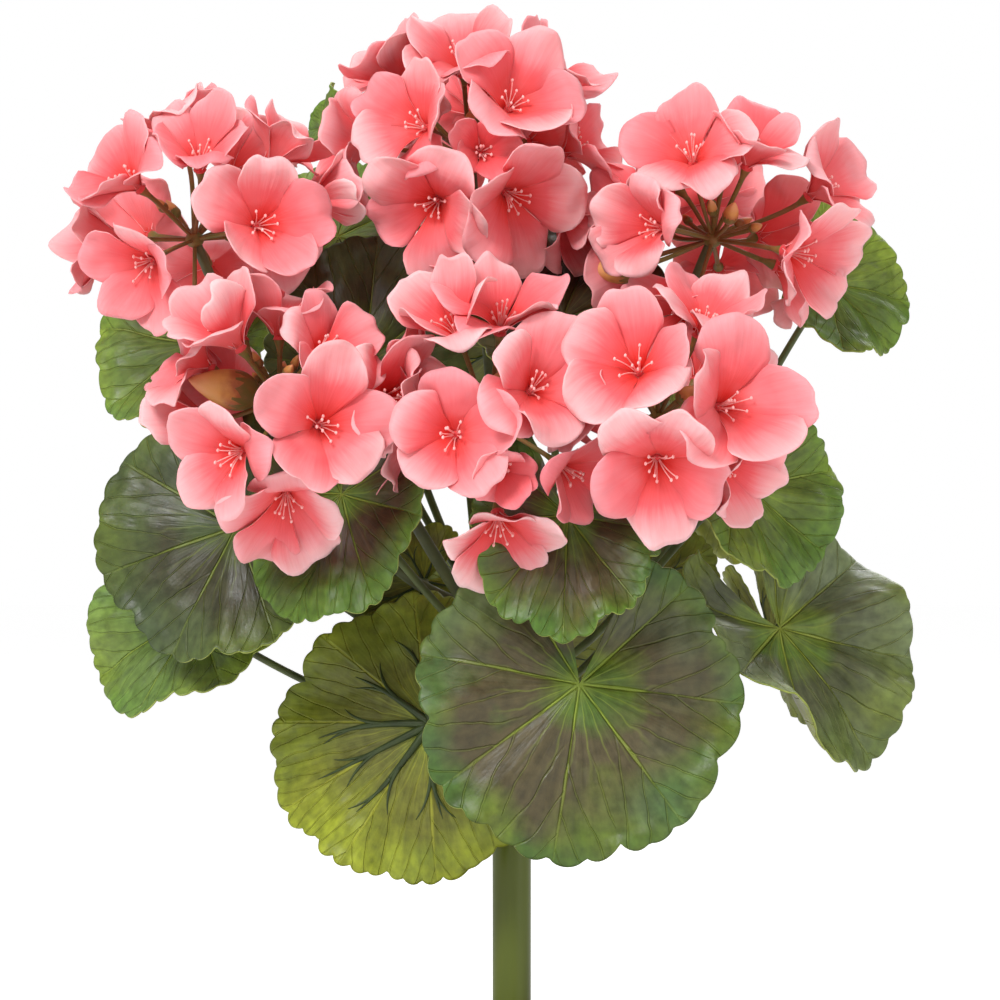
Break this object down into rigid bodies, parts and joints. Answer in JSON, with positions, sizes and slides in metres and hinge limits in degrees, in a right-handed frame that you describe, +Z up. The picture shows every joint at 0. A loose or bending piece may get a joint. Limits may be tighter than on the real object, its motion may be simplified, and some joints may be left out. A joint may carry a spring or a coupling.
{
  "type": "potted geranium",
  "caption": "Zonal geranium bush with coral-pink flower heads over round scalloped leaves on one stem, standing in a plain round pot with a rim band.",
  "frame": {"origin": "centre of the pot's flat base, on the surface that it stands on", "axes": "+Z up along the main stem, -Y towards the plant's front, +X to the right seen from the front"},
  "size_m": [0.2986, 0.2262, 0.4631],
  "materials": {
    "terracotta": "matt unglazed",
    "soil": "crumbly matt",
    "stem": "smooth satin",
    "leaf": "satin",
    "flower_stalk": "satin",
    "petal": "soft matt"
  },
  "bodies": {
    "root": {"floret_left_1": "petal", "floret_left_2": "petal", "floret_left_3": "petal", "floret_left_4": "petal", "floret_left_5": "petal", "floret_left_6": "petal", "floret_low_left_1": "petal", "floret_low_left_2": "petal", "floret_low_left_3": "petal", "floret_low_left_4": "petal", "floret_low_middle_1": "petal", "floret_low_middle_2": "petal", "floret_low_middle_3": "petal", "floret_low_middle_4": "petal", "floret_low_right_1": "petal", "floret_low_right_2": "petal", "floret_low_right_3": "petal", "floret_low_right_4": "petal", "floret_right_1": "petal", "floret_right_2": "petal", "floret_right_3": "petal", "floret_right_4": "petal", "floret_right_5": "petal", "floret_right_6": "petal", "floret_top_1": "petal", "floret_top_2": "petal", "floret_top_3": "petal", "floret_top_4": "petal", "floret_top_5": "petal", "floret_top_6": "petal", "flower_stalk_left": "flower_stalk", "flower_stalk_low_left": "flower_stalk", "flower_stalk_low_middle": "flower_stalk", "flower_stalk_low_right": "flower_stalk", "flower_stalk_right": "flower_stalk", "flower_stalk_top": "flower_stalk", "leaf_back_high": "leaf", "leaf_back_left": "leaf", "leaf_back_low": "leaf", "leaf_back_right": "leaf", "leaf_back_side": "leaf", "leaf_dark_fan": "leaf", "leaf_dark_middle": "leaf", "leaf_large_front": "leaf", "leaf_left_back": "leaf", "leaf_left_dark": "leaf", "leaf_left_front": "leaf", "leaf_left_inner": "leaf", "leaf_left_lower": "leaf", "leaf_left_upper": "leaf", "leaf_middle_front": "leaf", "leaf_olive_front": "leaf", "leaf_right_high": "leaf", "leaf_right_inner": "leaf", "leaf_right_upper": "leaf", "leaf_right_wavy": "leaf", "leaf_top_small": "leaf", "main_stem": "stem", "pot": "terracotta", "soil": "soil"}
  },
  "joints": []
}
